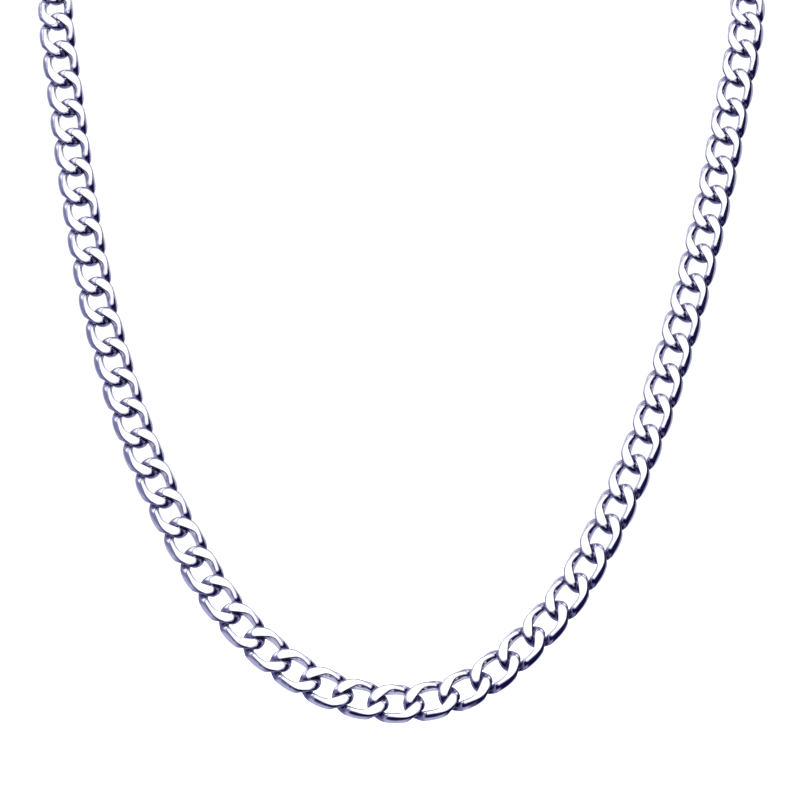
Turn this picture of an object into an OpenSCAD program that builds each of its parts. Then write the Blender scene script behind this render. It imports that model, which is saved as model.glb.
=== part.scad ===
// Curb chain necklace as it hangs round a neck: twisted links ground flat on both faces, in one closed loop
// that leans back over the chest, goes back over the shoulders and is joined at the nape by a barrel clasp.
// The origin is on the skin side of the clasp, +Z is up and the wearer faces -Y. Left and right are those of
// someone who looks at the wearer, so right is +X.

/* [Chain] */
// Width of the chain across its links
chain_w = 7; // [6.6:0.1:9]
// Thickness of the chain between its ground faces
chain_t = 1.8; // [1.6:0.1:2.4]
// Distance from one link to the next
link_pitch = 6.3; // [6:0.1:7]
// Diameter of the wire that the links are bent from
wire_d = 1.8; // [1.4:0.05:1.9]
// Slack between two linked wires, along the chain
link_play = 0.7; // [0.5:0.05:1]
// Gap between the front wire and the back wire where two links cross
cross_gap = 0.26; // [0.18:0.02:0.34]

/* [Clasp] */
// Diameter of the barrel
barrel_d = 4.4; // [3.6:0.1:6]
// Length of the barrel without its eyes
barrel_l = 12; // [8:0.5:18]
// Rounding of the barrel's ends
barrel_round = 1; // [0.5:0.1:1.6]
// Width of the groove round the barrel's middle
groove_w = 0.6; // [0.3:0.1:1]
// Depth of the groove
groove_depth = 0.3; // [0.1:0.05:0.5]
// Diameter of the wire of each eye
eye_wire_d = 1.2; // [0.9:0.1:1.3]
// Diameter of the eye, from wire centre to wire centre
eye_d = 3.8; // [3.6:0.1:4.6]
// Clearance between an eye and the end of the link that it holds
eye_gap = 0.4; // [0.35:0.05:0.6]

/* [Way it hangs] */
// Width of the loop across the shoulders
loop_w = 139; // [120:1:165]
// Distance from the nape forwards to the lowest link
loop_depth = 139; // [120:1:165]
// Drop from the nape to the lowest link
loop_drop = 172; // [150:1:210]
// Angle by which the front of the loop leans back from upright
front_lean = 21; // [10:1:35]
// Angle by which the chain faces upwards at the nape
nape_rise = 45; // [10:1:60]

/* [Hidden] */
$fn = 48;
steel = [0.80, 0.80, 0.86];

// Points of the loop, from the nape over the right shoulder, down round the chest and back up: x, y, z. They
// are drawn for a loop of this width, depth and drop, and stretched to the loop's own.
drawn = [139, 139, 172];
drawn_route = [
    [0, 0, 0], [26, -8.5, 0], [47, -26.5, -2], [61, -49.5, -8], [68, -72.5, -21],
    [67.7, -89.8, -42.5], [63.5, -97.5, -63], [58.5, -105, -83.5], [51.5, -114, -107], [43.5, -122, -128.5],
    [32.5, -130.5, -149.5], [22.5, -135, -161.5], [12, -138, -169.2], [0, -139, -172], [-13, -138, -169.5],
    [-25, -135, -162], [-35, -130.5, -150.5], [-46.5, -122.5, -129.5], [-55, -113.5, -106], [-60.5, -105, -83],
    [-64.5, -97, -61], [-67.5, -89.8, -42.5], [-69.5, -72.5, -19.5], [-64.5, -49, -4.5], [-50.5, -24.5, 1.5],
    [-28, -7, 1.5]
];
route = [
    for (p = drawn_route) [p.x * loop_w / drawn.x, p.y * loop_depth / drawn.y, p.z * loop_drop / drawn.z]
];
samples_per_point = 16;
// Share of the loop's depth at which it leaves the chest and its faces start to turn towards the nape
chest_share = 0.68;
// Way the faces point on the chest, on top of each shoulder and at the nape
chest_face = [0, -cos(front_lean), sin(front_lean)];
shoulder_face = [0.8, 0, 1.6];
nape_face = [0, cos(nape_rise), sin(nape_rise)];

// Sections of a quarter of the link, from its end to its side. Columns: along, as a share of the half length;
// across, as a share of the half width; height, as a share of the half thickness; half width and half
// height, as shares of the wire's radius. Where the height isn't 0, the half height reaches down to the gap.
link_sections = [
    [1.00, 0.00, 0.00, 0.91, 0.85],
    [0.90, 0.35, 0.68, 1.20, 0.00],
    [0.60, 0.80, 0.62, 1.16, 0.00],
    [0.00, 1.00, 0.00, 1.00, 1.12]
];
wire_sides = 6;
// Highest point that a corner of the six-sided wire reaches, as a share of its half height
corner_share = sin(60);

wire_r = wire_d / 2;
half_t = chain_t / 2;
end_wire_d = wire_d * link_sections[0][3];
link_l = link_pitch + 2 * end_wire_d + link_play;
centre_a = (link_l - end_wire_d) / 2;
centre_b = (chain_w - wire_d) / 2;
eye_r = eye_d / 2;
// Distance from a link's centre to the middle of the eye round its end
eye_reach = centre_a - end_wire_d / 2 - eye_gap - eye_wire_d / 2 + eye_r;
// Distance along the loop from the nape to the centre of each end link
end_s = barrel_l / 2 + eye_r + eye_reach;
// Slope of the wire round a link's end. The clasp's eyes stand square to it.
end_slope = atan2(link_sections[1][2] * half_t, link_sections[1][1] * centre_b);

function unit(v) = v / norm(v);

// Smooth curve through the route's points
function curve_point(i, t) =
    let (n = len(route), a = route[(i + n - 1) % n], b = route[i], c = route[(i + 1) % n], d = route[(i + 2) % n])
    (2 * b + (c - a) * t + (2 * a - 5 * b + 4 * c - d) * t * t + (3 * b - a - 3 * c + d) * t * t * t) / 2;
samples = [
    for (i = [0 : len(route) - 1], k = [0 : samples_per_point - 1]) curve_point(i, k / samples_per_point)
];
sample_n = len(samples);
function sample(i) = samples[i % sample_n];
run = [for (i = 0, s = 0; i <= sample_n; s = s + norm(sample(i + 1) - sample(i)), i = i + 1) s];
loop_l = run[sample_n];
run_x = [for (i = [0 : sample_n]) [run[i], sample(i).x]];
run_y = [for (i = [0 : sample_n]) [run[i], sample(i).y]];
run_z = [for (i = [0 : sample_n]) [run[i], sample(i).z]];
function place(s) = [lookup(s, run_x), lookup(s, run_y), lookup(s, run_z)];

// The links share out what the clasp leaves of the loop
link_gaps = round((loop_l - 2 * end_s) / link_pitch);
pitch = (loop_l - 2 * end_s) / link_gaps;
link_n = link_gaps + 1;
right_n = floor(link_n / 2);
function link_s(i) = end_s + i * pitch;

// A link points along the loop and turns its face from the chest's way, over the shoulder's, to the nape's
function heading(s) = unit(place(s + pitch / 2) - place(s - pitch / 2));
function wanted_face(p) =
    let (t = max(0, min(1, 1 + p.y / (chest_share * loop_depth))), side = p.x < 0 ? -1 : 1)
    chest_face * pow(1 - t, 2) + [side * shoulder_face.x, 0, shoulder_face.z] * 2 * t * (1 - t)
    + nape_face * pow(t, 2);
function face(s) = let (h = heading(s), f = wanted_face(place(s))) unit(f - h * (h * f));

// The clasp runs straight between the two end links
eye_a = place(link_s(0)) - heading(link_s(0)) * eye_reach;
eye_b = place(link_s(link_n - 1)) + heading(link_s(link_n - 1)) * eye_reach;
clasp_centre = (eye_a + eye_b) / 2;
clasp_heading = unit(eye_a - eye_b);
clasp_face = unit(nape_face - clasp_heading * (clasp_heading * nape_face));
eye_span = norm(eye_a - eye_b);
body_l = eye_span - 2 * eye_r;
// What brings the skin side of the clasp to the origin
seat = clasp_face * barrel_d / 2 - clasp_centre;

// Stands children at a point, with +X along the heading and +Z along the face
module stand(point, heading, face) {
    across = cross(face, heading);
    multmatrix([
        [heading.x, across.x, face.x, point.x],
        [heading.y, across.y, face.y, point.y],
        [heading.z, across.z, face.z, point.z],
        [0, 0, 0, 1]
    ]) children();
}

// One station of the link's centre line: x, y, z, half width, half height
function station(row, sx, sy) = [
    sx * row[0] * centre_a,
    sy * row[1] * centre_b,
    -sx * sy * row[2] * half_t,
    row[3] * wire_r,
    row[2] == 0 ? row[4] * wire_r : row[2] * half_t - cross_gap / 2
];
last_row = len(link_sections) - 1;
stations = [
    for (i = [0 : last_row]) station(link_sections[i], 1, 1),
    for (i = [last_row - 1 : -1 : 0]) station(link_sections[i], -1, 1),
    for (i = [1 : last_row]) station(link_sections[i], -1, -1),
    for (i = [last_row - 1 : -1 : 1]) station(link_sections[i], 1, -1)
];
station_n = len(stations);
function spot(i) = let (s = stations[(i + station_n) % station_n]) [s.x, s.y, s.z];

// Six corners round the wire. Those past a ground face move down to where the face cuts the wire.
function wire_ring(i) =
    let (
        p = spot(i),
        way = unit(spot(i + 1) - spot(i - 1)),
        out = unit(cross(way, [0, 0, 1])),
        up = cross(out, way),
        half_w = stations[i][3],
        half_h = stations[i][4],
        rise = min(corner_share, (half_t - p.z) / half_h),
        drop = min(corner_share, (half_t + p.z) / half_h),
        rise_w = sqrt(1 - rise * rise),
        drop_w = sqrt(1 - drop * drop),
        corners = [[1, 0], [rise_w, rise], [-rise_w, rise], [-1, 0], [-drop_w, -drop], [drop_w, -drop]]
    )
    [for (c = corners) ground(p + out * c.x * half_w + up * c.y * half_h)];
function ground(v) = [v.x, v.y, max(-half_t, min(half_t, v.z))];

link_points = [for (i = [0 : station_n - 1]) each wire_ring(i)];
function corner(i, j) = (i % station_n) * wire_sides + j % wire_sides;
link_faces = [
    for (i = [0 : station_n - 1], j = [0 : wire_sides - 1])
        each [
            [corner(i, j), corner(i + 1, j + 1), corner(i + 1, j)],
            [corner(i, j), corner(i, j + 1), corner(i + 1, j + 1)]
        ]
];

module curb_link() {
    polyhedron(link_points, link_faces);
}

module chain_part(first, last) {
    color(steel)
        for (i = [first : last])
            stand(place(link_s(i)) + seat, heading(link_s(i)), face(link_s(i)))
                curb_link();
}

module chain_right() {
    chain_part(0, right_n - 1);
}

module chain_left() {
    chain_part(right_n, link_n - 1);
}

// Half outline of the barrel along its axis, with rounded ends and a groove round its middle
module barrel_outline() {
    barrel_r = barrel_d / 2;
    straight_l = body_l - 2 * barrel_round;
    difference() {
        intersection() {
            union() {
                square([barrel_d - 2 * barrel_round, body_l], center = true);
                square([barrel_d, straight_l], center = true);
                for (end = [-1, 1])
                    translate([barrel_r - barrel_round, end * straight_l / 2])
                        circle(r = barrel_round);
            }
            translate([0, -body_l / 2])
                square([barrel_r, body_l]);
        }
        translate([barrel_r - groove_depth, -groove_w / 2])
            square([groove_depth + 1, groove_w]);
    }
}

// An eye of the clasp, turned to suit the end link that it holds
module clasp_eye(centre, s, turn) {
    stand(centre + seat, heading(s), face(s))
        rotate([turn, 0, 0])
            rotate_extrude()
                translate([eye_r, 0])
                    circle(d = eye_wire_d);
}

module clasp() {
    color(steel) {
        stand(clasp_centre + seat, clasp_heading, clasp_face)
            rotate([0, 90, 0])
                rotate_extrude()
                    barrel_outline();
        clasp_eye(eye_a, link_s(0), 90 + end_slope);
        clasp_eye(eye_b, link_s(link_n - 1), 90 - end_slope);
    }
}

chain_left();
chain_right();
clasp();
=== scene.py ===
import bpy
import bmesh
from bisect import bisect
from math import atan2, cos, hypot, pi, radians, sin
from mathutils import Matrix, Vector


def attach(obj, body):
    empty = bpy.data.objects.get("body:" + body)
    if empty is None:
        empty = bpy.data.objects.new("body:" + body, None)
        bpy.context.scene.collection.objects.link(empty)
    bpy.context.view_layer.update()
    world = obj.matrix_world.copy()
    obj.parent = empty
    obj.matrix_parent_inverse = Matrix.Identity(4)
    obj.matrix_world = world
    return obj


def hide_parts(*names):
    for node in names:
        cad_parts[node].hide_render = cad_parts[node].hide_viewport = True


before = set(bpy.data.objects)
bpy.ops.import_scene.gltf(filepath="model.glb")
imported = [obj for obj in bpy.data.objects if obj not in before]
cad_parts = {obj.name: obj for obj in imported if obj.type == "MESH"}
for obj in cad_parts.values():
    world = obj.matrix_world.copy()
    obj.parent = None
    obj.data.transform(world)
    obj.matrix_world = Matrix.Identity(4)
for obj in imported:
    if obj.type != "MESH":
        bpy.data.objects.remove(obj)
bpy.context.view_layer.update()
mm = 0.001

# the way the loop hangs, in millimetres and degrees
hang = {
    "lean": 21,  # how far the front of the loop leans back from upright
    "napeRise": 45,  # how far the chain faces upwards at the nape
    "shoulderFace": (0.8, 0, 1.6),  # the way it faces over a shoulder, sideways and up
    "chestDepth": 0.68 * 139,  # how far in front of the nape the loop leaves the chest
    "samples": 16,  # points of the smooth line for each of the route
    "route": [
        (0, 0, 0), (26, -8.5, 0), (47, -26.5, -2), (61, -49.5, -8), (68, -72.5, -21),
        (67.7, -89.8, -42.5), (63.5, -97.5, -63), (58.5, -105, -83.5), (51.5, -114, -107), (43.5, -122, -128.5),
        (32.5, -130.5, -149.5), (22.5, -135, -161.5), (12, -138, -169.2), (0, -139, -172), (-13, -138, -169.5),
        (-25, -135, -162), (-35, -130.5, -150.5), (-46.5, -122.5, -129.5), (-55, -113.5, -106),
        (-60.5, -105, -83), (-64.5, -97, -61), (-67.5, -89.8, -42.5), (-69.5, -72.5, -19.5), (-64.5, -49, -4.5),
        (-50.5, -24.5, 1.5), (-28, -7, 1.5),
    ],
}

# the links, in millimetres
chain = {
    "width": 6.84,
    "thickness": 1.8,
    "length": 10.2,
    "pitch": 6.3,
    "play": 0.7,
    "stations": 56,  # rings round one link
    "sides": 24,  # sides of its wire
    "crowding": 0.17,  # how much closer the sides lie by the ground faces
    # a quarter of the link from its end to its side: along, across and height as shares of the half length,
    # half width and half thickness, then the wire's half width and its reach towards the ground face that it
    # is bent to and away from it, in millimetres
    "sections": [
        (1.00, 0.00, 0.00, 0.90, 0.78, 0.78),
        (0.90, 0.345, 0.68, 0.96, 0.42, 0.38),
        (0.57, 0.80, 0.60, 0.90, 0.57, 0.48),
        (0.33, 0.955, 0.12, 0.87, 0.98, 1.01),
        (0.00, 1.00, 0.00, 0.86, 0.925, 0.925),
    ],
    # how square the wire's shoulder is where it crosses the next link, from 0 to 1, then the shares of the half
    # length where that starts and where it is over, each with its run
    "frontFullness": 0.74,
    "backFullness": 0.35,
    "fullFrom": (0.25, 0.2),
    "fullTo": (0.98, 0.15),
    # the painted shade, steel coloured darker where shade falls: how deep under the ground faces it is darkest,
    # and the shares of the half length and half thickness where it starts at the link's ends, each with its run
    "paintedShadeDepth": 0.3,
    "paintedShadeEnd": (0.66, 0.22),
    "paintedShadeFace": (0.95, 0.35),
    "sliver": 0.05,  # edges shorter than this are closed after the grinding
    "rim": 0.10,  # width of the soft edge round each ground face
    "rimPasses": 3,  # how often the line of that edge is evened out
    "faceShift": 0.36,  # how far the front face sits towards the inside of the loop
    # where the inner wire starts to dive, the run over which it does, and the shares of the shift that its face
    # then loses and its outer side gains, then how far off the middle line that is in full
    "dive": (0.6, 2.2, 0.9, 0.55),
    "diveAcross": 1.5,
}
wireKind, groundKind, rimKind = range(3)  # the order of the chain's materials
touching = 1e-5  # closer than this is the same place, in millimetres

# the clasp's sizes say where the chain ends, in millimetres; its shape is the CAD's own
clasp = {
    "barrel": 4.4,
    "barrelLength": 12,
    "eyeWire": 1.2,
    "eye": 3.8,
    "eyeGap": 0.4,
    "endWire": 1.8 * 0.91,  # the wire at a link's end
}


def limit(t):
    return min(max(t, 0), 1)


def ease(t):
    t = limit(t)
    return t * t * (3 - 2 * t)


def between(a, b, c, d, t):
    # a share t of the smooth way from b to c, with a before it and d after it
    return (2 * b + (c - a) * t + (2 * a - 5 * b + 4 * c - d) * t * t + (3 * b - a - 3 * c + d) * t ** 3) / 2


class Loop:
    # the smooth closed line that the links sit on
    def __init__(self, settings):
        self.settings = settings
        route = [Vector(point) for point in settings["route"]]
        self.points = []
        for i in range(len(route)):
            a, b, c, d = (route[(i + k) % len(route)] for k in (-1, 0, 1, 2))
            self.points += [between(a, b, c, d, k / settings["samples"]) for k in range(settings["samples"])]
        self.points.append(self.points[0])
        self.run = [0.0]
        for a, b in zip(self.points, self.points[1:]):
            self.run.append(self.run[-1] + (b - a).length)
        self.length = self.run[-1]

    def place(self, s):
        s = min(max(s, 0), self.length)
        low = min(bisect(self.run, s), len(self.run) - 1) - 1
        t = (s - self.run[low]) / (self.run[low + 1] - self.run[low])
        return self.points[low].lerp(self.points[low + 1], t)

    def heading(self, s, reach):
        return (self.place(s + reach) - self.place(s - reach)).normalized()

    def climb(self, s):
        # 0 on the chest, rising to 1 at the nape
        return limit(1 + self.place(s).y / self.settings["chestDepth"])

    def face(self, s, reach):
        # the way the front of the chain looks
        lean, rise = radians(self.settings["lean"]), radians(self.settings["napeRise"])
        t = self.climb(s)
        x, y, z = self.settings["shoulderFace"]
        shoulder = Vector((-x if self.place(s).x < 0 else x, y, z))
        wanted = (
            Vector((0, -cos(lean), sin(lean))) * (1 - t) ** 2
            + shoulder * 2 * t * (1 - t)
            + Vector((0, cos(rise), sin(rise))) * t * t
        )
        h = self.heading(s, reach)
        return (wanted - h * h.dot(wanted)).normalized()

    def stand(self, s, reach):
        # a link's place: along the loop, across it and out of its front face
        heading, face = self.heading(s, reach), self.face(s, reach)
        turn = Matrix((heading, face.cross(heading), face)).transposed().to_4x4()
        return Matrix.Translation(self.place(s)) @ turn


# the links share out the loop between the clasp's two eyes
loop = Loop(hang)
endWire = clasp["endWire"]
linkLength = chain["pitch"] + 2 * endWire + chain["play"]
halfLine = (linkLength - endWire) / 2
eyeRadius = clasp["eye"] / 2
eyeReach = halfLine - endWire / 2 - clasp["eyeGap"] - clasp["eyeWire"] / 2 + eyeRadius
endRun = clasp["barrelLength"] / 2 + eyeRadius + eyeReach
linkGaps = round((loop.length - 2 * endRun) / chain["pitch"])
pitch = (loop.length - 2 * endRun) / linkGaps
linkCount = linkGaps + 1
reach = pitch / 2
linkRuns = [endRun + i * pitch for i in range(linkCount)]
eyeA = loop.place(linkRuns[0]) - loop.heading(linkRuns[0], reach) * eyeReach
eyeB = loop.place(linkRuns[-1]) + loop.heading(linkRuns[-1], reach) * eyeReach
claspHeading = (eyeA - eyeB).normalized()
rise = radians(hang["napeRise"])
claspFace = Vector((0, cos(rise), sin(rise)))
claspFace = (claspFace - claspHeading * claspHeading.dot(claspFace)).normalized()
seat = claspFace * clasp["barrel"] / 2 - (eyeA + eyeB) / 2  # brings the skin side of the clasp to the origin
print("loop %.1f mm, %d links, pitch %.4f mm, seat %s" % (loop.length, linkCount, pitch, tuple(seat)))


def linkSections(settings):
    # the sections all the way round a link
    a = (settings["length"] - 2 * settings["sections"][0][3]) / 2
    b = (settings["width"] - 2 * settings["sections"][-1][3]) / 2
    h = settings["thickness"] / 2
    quarter = [(x * a, y * b, z * h, w, near, far) for x, y, z, w, near, far in settings["sections"]]

    def turned(rows, sx, sy):
        side = -sx * sy
        return [
            (sx * x, sy * y, side * z, w) + ((near, far) if side > 0 else (far, near))
            for x, y, z, w, near, far in rows
        ]

    return (
        turned(quarter, 1, 1)
        + turned(quarter[-2::-1], -1, 1)
        + turned(quarter[1:], -1, -1)
        + turned(quarter[-2:0:-1], 1, -1)
    )


def sectionAt(rows, u):
    # the section a share u of the way round
    n = len(rows)
    i = int(u * n) % n
    four = (rows[(i + k) % n] for k in (-1, 0, 1, 2))
    return [between(a, b, c, d, u * n - int(u * n)) for a, b, c, d in zip(*four)]


def shapeWire(bm, settings):
    # each ring of the plain torus takes its section; the painted shade mask says how far the steel lies under the
    # next links, where its colour is painted darker as shade
    rows = linkSections(settings)
    halfT, halfLength = settings["thickness"] / 2, settings["length"] / 2
    step = 0.002  # the share of the way round that gives the wire's heading
    # painted shade: a mask that darkens the wire where it lies under the next links and towards the link's ends
    paintedShade = bm.verts.layers.float.new("paintedShade")
    for vert in bm.verts:
        u = (atan2(vert.co.y, vert.co.x) / (2 * pi) + 1) % 1
        v = atan2(vert.co.z, hypot(vert.co.x, vert.co.y) - 1)
        v += settings["crowding"] * sin(2 * v)
        x, y, z, w, above, below = sectionAt(rows, u)
        ahead, behind = sectionAt(rows, (u + step) % 1), sectionAt(rows, (u - step) % 1)
        way = (Vector(ahead[:3]) - Vector(behind[:3])).normalized()
        out = way.cross(Vector((0, 0, 1))).normalized()
        up = out.cross(way)
        aside = cos(v)
        if aside < 0 and z * sin(v) > 0:
            # the shoulder by the hole is fuller where the wire crosses the next link
            share = abs(x) / settings["length"] * 2
            full = settings["frontFullness"] if z > 0 else settings["backFullness"]
            (start, startRun), (end, overRun) = settings["fullFrom"], settings["fullTo"]
            aside = -((-aside) ** (1 - full * ease((share - start) / startRun) * ease((end - share) / overRun)))
        vert.co = Vector((x, y, z)) + out * w * aside + up * (above if v > 0 else below) * sin(v)
        upper, lower = max(halfT - z - above, 0), max(halfT + z - below, 0)
        under = ((1 + sin(v)) * upper + (1 - sin(v)) * lower) / 2 / settings["paintedShadeDepth"]
        (start, startRun), (skin, skinRun) = settings["paintedShadeEnd"], settings["paintedShadeFace"]
        atEnd = limit((abs(vert.co.x) / halfLength - start) / startRun)
        deep = limit((skin - abs(vert.co.z) / halfT) / skinRun)
        vert[paintedShade] = max(min(under, 1), atEnd * deep)


def grindFaces(bm, settings):
    # both faces are ground flat
    halfT = settings["thickness"] / 2
    for side in (1, -1):
        cut = bmesh.ops.bisect_plane(
            bm, geom=bm.verts[:] + bm.edges[:] + bm.faces[:], dist=touching,
            plane_co=(0, 0, side * halfT), plane_no=(0, 0, side), clear_outer=True,
        )
        edges = [e for e in cut["geom_cut"] if isinstance(e, bmesh.types.BMEdge)]
        bmesh.ops.holes_fill(bm, edges=edges, sides=0)
    # the cuts leave the vertices in a chance order, which would change what merges next from run to run
    order = {v: k for k, v in enumerate(sorted(bm.verts, key=lambda v: v.co[:]))}
    bm.verts.sort(key=lambda v: order[v])
    # slivers that the cuts leave would spoil the soft edge
    bmesh.ops.remove_doubles(bm, verts=bm.verts, dist=settings["sliver"])
    for vert in bm.verts:
        if abs(abs(vert.co.z) - halfT) < settings["sliver"]:
            vert.co.z = halfT if vert.co.z > 0 else -halfT
    for f in bm.faces:
        ground = all(abs(abs(v.co.z) - halfT) < touching for v in f.verts)
        f.material_index = groundKind if ground else wireKind
    bmesh.ops.recalc_face_normals(bm, faces=bm.faces)


def isBorder(edge):
    return len({f.material_index for f in edge.link_faces}) == 2


def softenRims(bm, settings):
    # the line round each ground face is evened out, then takes a narrow soft edge
    halfT = settings["thickness"] / 2
    rims = [e for e in bm.edges if isBorder(e)]
    for k in range(settings["rimPasses"]):
        near = {v: [e.other_vert(v).co for e in v.link_edges if isBorder(e)] for e in rims for v in e.verts}
        places = {v: (v.co * 2 + two[0] + two[1]) / 4 for v, two in near.items() if len(two) == 2}
        for vert, place in places.items():
            vert.co = place
    made = bmesh.ops.bevel(
        bm, geom=rims, offset=settings["rim"], offset_type="OFFSET", segments=2, profile=0.5, material=-1,
        affect="EDGES", clamp_overlap=False,
    )
    rounded = set(made["faces"])
    for f in bm.faces:
        level, height = abs(f.normal.z), abs(f.calc_center_median().z)
        flat = level > 0.9999 and abs(height - halfT) < 0.002  # the rim's own faces lean or lie lower
        f.smooth = not flat
        f.material_index = groundKind if flat else rimKind if f in rounded else wireKind
    for e in bm.edges:
        if isBorder(e):
            e.smooth = False


def makeLink(settings):
    bm = bmesh.new()
    bmesh.ops.create_circle(bm, segments=settings["sides"], radius=0.2)
    bmesh.ops.rotate(bm, verts=bm.verts, matrix=Matrix.Rotation(pi / 2, 3, "X"))
    bmesh.ops.translate(bm, verts=bm.verts, vec=(1, 0, 0))
    bmesh.ops.spin(
        bm, geom=bm.verts[:] + bm.edges[:], axis=(0, 0, 1), cent=(0, 0, 0), angle=2 * pi,
        steps=settings["stations"], use_merge=True,
    )
    shapeWire(bm, settings)
    grindFaces(bm, settings)
    softenRims(bm, settings)
    layer = bm.loops.layers.uv.new("alongLink")
    for f in bm.faces:
        for corner in f.loops:
            corner[layer].uv = (corner.vert.co.x, corner.vert.co.y)
    mesh = bpy.data.meshes.new("linkShape")
    bm.to_mesh(mesh)
    bm.free()
    return mesh


link = makeLink(chain)
print("one link has %d faces" % len(link.polygons))


def shiftFace(mesh, shift):
    # the front face moves towards the inside of the loop, less where the inner wire dives
    start, run, lost, gained = chain["dive"]
    wireHalf = chain["sections"][-1][3]
    for vert in mesh.vertices:
        x, y, z = vert.co
        dive = ease((start - x) / run) * ease(-y / chain["diveAcross"])
        outer = limit((wireHalf - chain["width"] / 2 - y) / wireHalf)
        front = max(z, 0) / (chain["thickness"] / 2)
        vert.co.y -= shift * ((1 - lost * dive) * front + gained * dive * outer)


def addObject(name, bm, materials):
    mesh = bpy.data.meshes.new(name)
    bm.to_mesh(mesh)
    bm.free()
    for material in materials:
        mesh.materials.append(material)
    obj = bpy.data.objects.new(name, mesh)
    bpy.context.collection.objects.link(obj)
    return obj


def makeChain(name, runs, materials):
    bm = bmesh.new()
    for s in runs:
        copy = link.copy()
        shiftFace(copy, chain["faceShift"] * (1 - loop.climb(s)) ** 2)
        copy.transform(Matrix.Diagonal((mm, mm, mm, 1)) @ Matrix.Translation(seat) @ loop.stand(s, reach))
        bm.from_mesh(copy)
        bpy.data.meshes.remove(copy)
    return addObject(name, bm, materials)


class Channel:
    # an output of a shader node, so that maths on it reads as maths
    def __init__(self, tree, socket=None):
        self.tree = tree
        self.socket = socket

    def add(self, kind, settings=None, inputs=None, output=0):
        node = self.tree.nodes.new(kind)
        for key, value in (settings or {}).items():
            setattr(node, key, value)
        for key, value in (inputs or {}).items():
            if isinstance(value, Channel):
                self.tree.links.new(value.socket, node.inputs[key])
            else:
                node.inputs[key].default_value = value
        return Channel(self.tree, node.outputs[output])

    def maths(self, operation, a, b):
        return self.add("ShaderNodeMath", {"operation": operation}, {0: a, 1: b})

    def __add__(self, other):
        return self.maths("ADD", self, other)

    def __rsub__(self, other):
        return self.maths("SUBTRACT", other, self)

    def __mul__(self, other):
        return self.maths("MULTIPLY", self, other)

    def smooth(self, low, high):
        # 0 up to low, rising softly to 1 at high
        ends = {"Value": self, "From Min": low, "From Max": high}
        return self.add("ShaderNodeMapRange", {"interpolation_type": "SMOOTHSTEP"}, ends)

    def mix(self, a, b):
        # the colour a where this is 0, the colour b where it is 1
        return self.add("ShaderNodeMix", {"data_type": "RGBA"}, {0: self, 6: a, 7: b}, 2)

    def noise(self, scale, detail):
        return self.add("ShaderNodeTexNoise", {}, {"Vector": self, "Scale": scale, "Detail": detail})

    def plug(self, socket):
        self.tree.links.new(self.socket, socket)


# the polished steels: colours from their duller to their brighter spots, patterns by scale and detail, roughness
# at its least and what each pattern adds, and how strong the relief is
steel = {
    "reliefDepth": 0.00001,  # in metres
    "wire": {
        "colours": ((0.86, 0.86, 0.90, 1), (0.93, 0.93, 0.96, 1)),
        "paintedShade": (0.38, 0.37, 0.54, 1),  # painted shade: the darker colour where the wire lies under the next links
        "haze": (900, 3),
        "pits": (6000, 2),
        "roughness": (0.05, 0.06, 0.08),
        "relief": 0.15,
    },
    "ground": {
        "colours": ((0.90, 0.90, 0.93, 1), (0.97, 0.97, 0.99, 1)),
        "stretch": (0.6, 14, 1),  # draws the grinding lines out along the link
        "lines": (3.0, 4),
        "haze": (700, 2),
        "roughness": (0.06, 0.06, 0.08),
        "relief": 0.12,
    },
    # painted shade: the soft edge round each ground face is coloured dark lilac, a painted dark line round the
    # bright faces
    "rim": {
        "colours": ((0.38, 0.37, 0.54, 1), (0.48, 0.47, 0.64, 1)),
        "haze": (900, 3),
        "roughness": (0.10, 0.08),
    },
    "clasp": {
        "colours": ((0.84, 0.84, 0.88, 1), (0.93, 0.93, 0.96, 1)),
        "stretch": (20, 1, 1),  # draws the turning lines out round the barrel
        "lines": (300, 3),
        "roughness": (0.08, 0.12),
        "relief": 0.15,
    },
}


def newMaterial(name):
    material = bpy.data.materials.new(name)
    material.use_nodes = True
    return material, Channel(material.node_tree), material.node_tree.nodes["Principled BSDF"].inputs


def newSteel(name):
    material, tree, sockets = newMaterial(name)
    sockets["Metallic"].default_value = 1
    return material, tree, sockets, tree.add("ShaderNodeTexCoord", output="Object")


def addRelief(height, look, sockets):
    inputs = {"Height": height, "Strength": look["relief"], "Distance": steel["reliefDepth"]}
    height.add("ShaderNodeBump", {}, inputs).plug(sockets["Normal"])


def wireSteel(look):
    material, tree, sockets, spot = newSteel("wireSteel")
    haze = spot.noise(*look["haze"])
    # painted shade: the wire's colour darkens to dark lilac where it lies under the next links
    paintedShade = tree.add("ShaderNodeAttribute", {"attribute_name": "paintedShade"}, output="Fac")
    paintedShade.mix(haze.mix(*look["colours"]), look["paintedShade"]).plug(sockets["Base Color"])
    least, hazy, deep = look["roughness"]
    (haze * hazy + paintedShade * deep + least).plug(sockets["Roughness"])
    addRelief(spot.noise(*look["pits"]), look, sockets)
    return material


def groundSteel(look):
    material, tree, sockets, spot = newSteel("groundSteel")
    flat = tree.add("ShaderNodeUVMap", {"uv_map": "alongLink"})
    drawn = tree.add("ShaderNodeMapping", {}, {"Vector": flat, "Scale": look["stretch"]})
    lines = drawn.noise(*look["lines"])
    lines.mix(*look["colours"]).plug(sockets["Base Color"])
    least, hazy, lined = look["roughness"]
    (spot.noise(*look["haze"]) * hazy + lines * lined + least).plug(sockets["Roughness"])
    addRelief(lines, look, sockets)
    return material


def rimPaintedShade(look):
    material, tree, sockets, spot = newSteel("rimPaintedShade")
    haze = spot.noise(*look["haze"])
    # painted shade: the soft edge takes the dark lilac colours
    haze.mix(*look["colours"]).plug(sockets["Base Color"])
    least, hazy = look["roughness"]
    (haze * hazy + least).plug(sockets["Roughness"])
    return material


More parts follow.
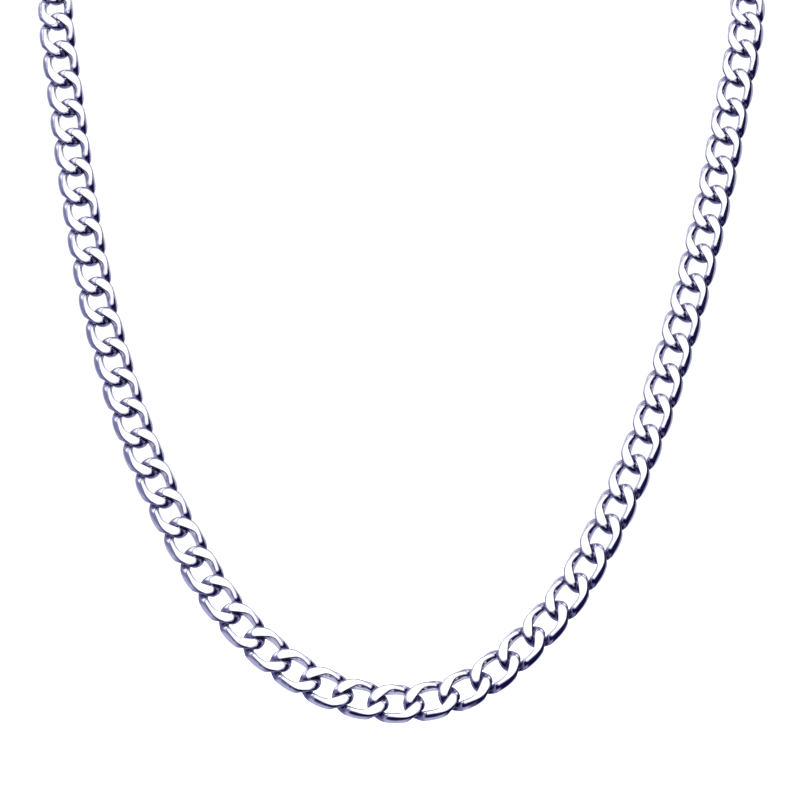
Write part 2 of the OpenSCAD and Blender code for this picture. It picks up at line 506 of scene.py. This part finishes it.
def claspSteel(look):
    material, tree, sockets, spot = newSteel("claspSteel")
    drawn = tree.add("ShaderNodeMapping", {}, {"Vector": spot, "Scale": look["stretch"]})
    lines = drawn.noise(*look["lines"])
    lines.mix(*look["colours"]).plug(sockets["Base Color"])
    least, lined = look["roughness"]
    (lines * lined + least).plug(sockets["Roughness"])
    addRelief(lines, look, sockets)
    return material


chainSteel = (wireSteel(steel["wire"]), groundSteel(steel["ground"]), rimPaintedShade(steel["rim"]))
turnedSteel = claspSteel(steel["clasp"])

half = linkCount // 2
right = makeChain("rightChain", linkRuns[:half], chainSteel)
left = makeChain("leftChain", linkRuns[half:], chainSteel)
for piece, node in ((right, "chain_right"), (left, "chain_left")):
    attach(piece, "root")
    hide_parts(node)
print("chain made: %d faces" % (len(right.data.polygons) + len(left.data.polygons)))

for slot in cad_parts["clasp"].material_slots:
    slot.material = turnedSteel
print("clasp finished")

studio = {
    "floor": -0.26,  # height of the paper floor, in metres
    "depth": 6.0,  # half its width
    "paper": (0.95, 0.95, 0.96, 1),
    "light": (1.1, 1.1, 1.1, 1),  # the room's light and backdrop, which the steel doesn't mirror
    "white": (1.25, 1.25, 1.27, 1),
    "lilac": (0.46, 0.45, 0.66, 1),
    "silver": (0.72, 0.72, 0.82, 1),
    "slate": (0.20, 0.20, 0.38, 1),
    "navy": (0.006, 0.004, 0.05, 1),
    # the walls that the steel mirrors in a white room, each over the ones before it: its colour, then along which
    # ways it comes in, and along which it goes out again
    "walls": [
        ("lilac", {"back": (-0.10, 0.35)}, {}),
        ("slate", {"left": (0.15, 0.50)}, {"back": (0.15, 0.85), "up": (0.32, 0.60)}),
        ("slate", {"up": (0.91, 0.99)}, {}),
        ("navy", {"down": (-0.25, 0.05), "right": (-0.75, -0.45)}, {"back": (-0.05, 0.35)}),
        ("lilac", {"down": (0.0, 0.25), "back": (-0.75, -0.40)}, {}),
        ("navy", {"right": (0.30, 0.60)}, {"back": (-0.05, 0.40), "up": (0.65, 0.90)}),
        ("silver", {"back": (0.20, 0.45), "down": (0.35, 0.55)}, {}),
        ("silver", {"back": (0.45, 0.65), "up": (0.25, 0.45)}, {}),
    ],
    # each lamp's name, place, width and power
    "lamps": [("keyLamp", (-0.5, -0.5, 0.7), 0.7, 9), ("floorLamp", (0.0, 0.6, 0.9), 1.2, 20)],
    "lampsLookAt": (0, -0.09, -0.09),
    "cameraPlace": (-0.2, -558.385, -118.8),  # in millimetres, on the route's own axes
    "lens": 108,
}


def makeStage():
    bm = bmesh.new()
    bmesh.ops.create_grid(bm, x_segments=1, y_segments=1, size=studio["depth"])
    bmesh.ops.translate(bm, verts=bm.verts, vec=(0, 0, studio["floor"]))
    material, tree, sockets = newMaterial("palePaper")
    sockets["Base Color"].default_value = studio["paper"]
    sockets["Roughness"].default_value = 0.9
    floor = addObject("floor", bm, [material])
    floor.visible_glossy = False


def makeLamp(name, place, size, power):
    lamp = bpy.data.lights.new(name, "AREA")
    lamp.shape = "DISK"
    lamp.size = size
    lamp.energy = power
    obj = bpy.data.objects.new(name, lamp)
    bpy.context.collection.objects.link(obj)
    obj.visible_glossy = False  # the steel mirrors the studio's walls alone
    obj.location = place
    obj.rotation_euler = (Vector(studio["lampsLookAt"]) - Vector(place)).to_track_quat("-Z", "Y").to_euler()


def makeWorld():
    world = bpy.data.worlds.new("studio")
    bpy.context.scene.world = world
    world.use_nodes = True
    tree = Channel(world.node_tree)
    look = tree.add("ShaderNodeTexCoord")
    node = tree.add("ShaderNodeSeparateXYZ", {}, {0: look}).socket.node
    x, y, z = (Channel(world.node_tree, node.outputs[k]) for k in range(3))
    ways = {"right": x, "left": 0 - x, "back": y, "up": z, "down": 0 - z}
    colour = studio["white"]
    for name, comesIn, goesOut in studio["walls"]:
        shares = [ways[way].smooth(*ends) for way, ends in comesIn.items()]
        shares += [1 - ways[way].smooth(*ends) for way, ends in goesOut.items()]
        wall = shares[0]
        for share in shares[1:]:
            wall = wall * share
        colour = wall.mix(colour, studio[name])
    mirrored = tree.add("ShaderNodeLightPath", output="Is Glossy Ray")
    mirrored.mix(studio["light"], colour).plug(world.node_tree.nodes["Background"].inputs["Color"])


def makeCamera():
    lens = bpy.data.cameras.new("camera")
    lens.lens = studio["lens"]
    lens.sensor_width = 36
    lens.clip_start = 0.01
    lens.clip_end = 20
    camera = bpy.data.objects.new("camera", lens)
    bpy.context.collection.objects.link(camera)
    camera.location = (Vector(studio["cameraPlace"]) + seat) * mm
    camera.rotation_euler = (pi / 2, 0, 0)
    bpy.context.scene.camera = camera


makeStage()
makeWorld()
for lamp in studio["lamps"]:
    makeLamp(*lamp)
makeCamera()
bpy.context.scene.view_settings.view_transform = "Standard"
print("studio made")
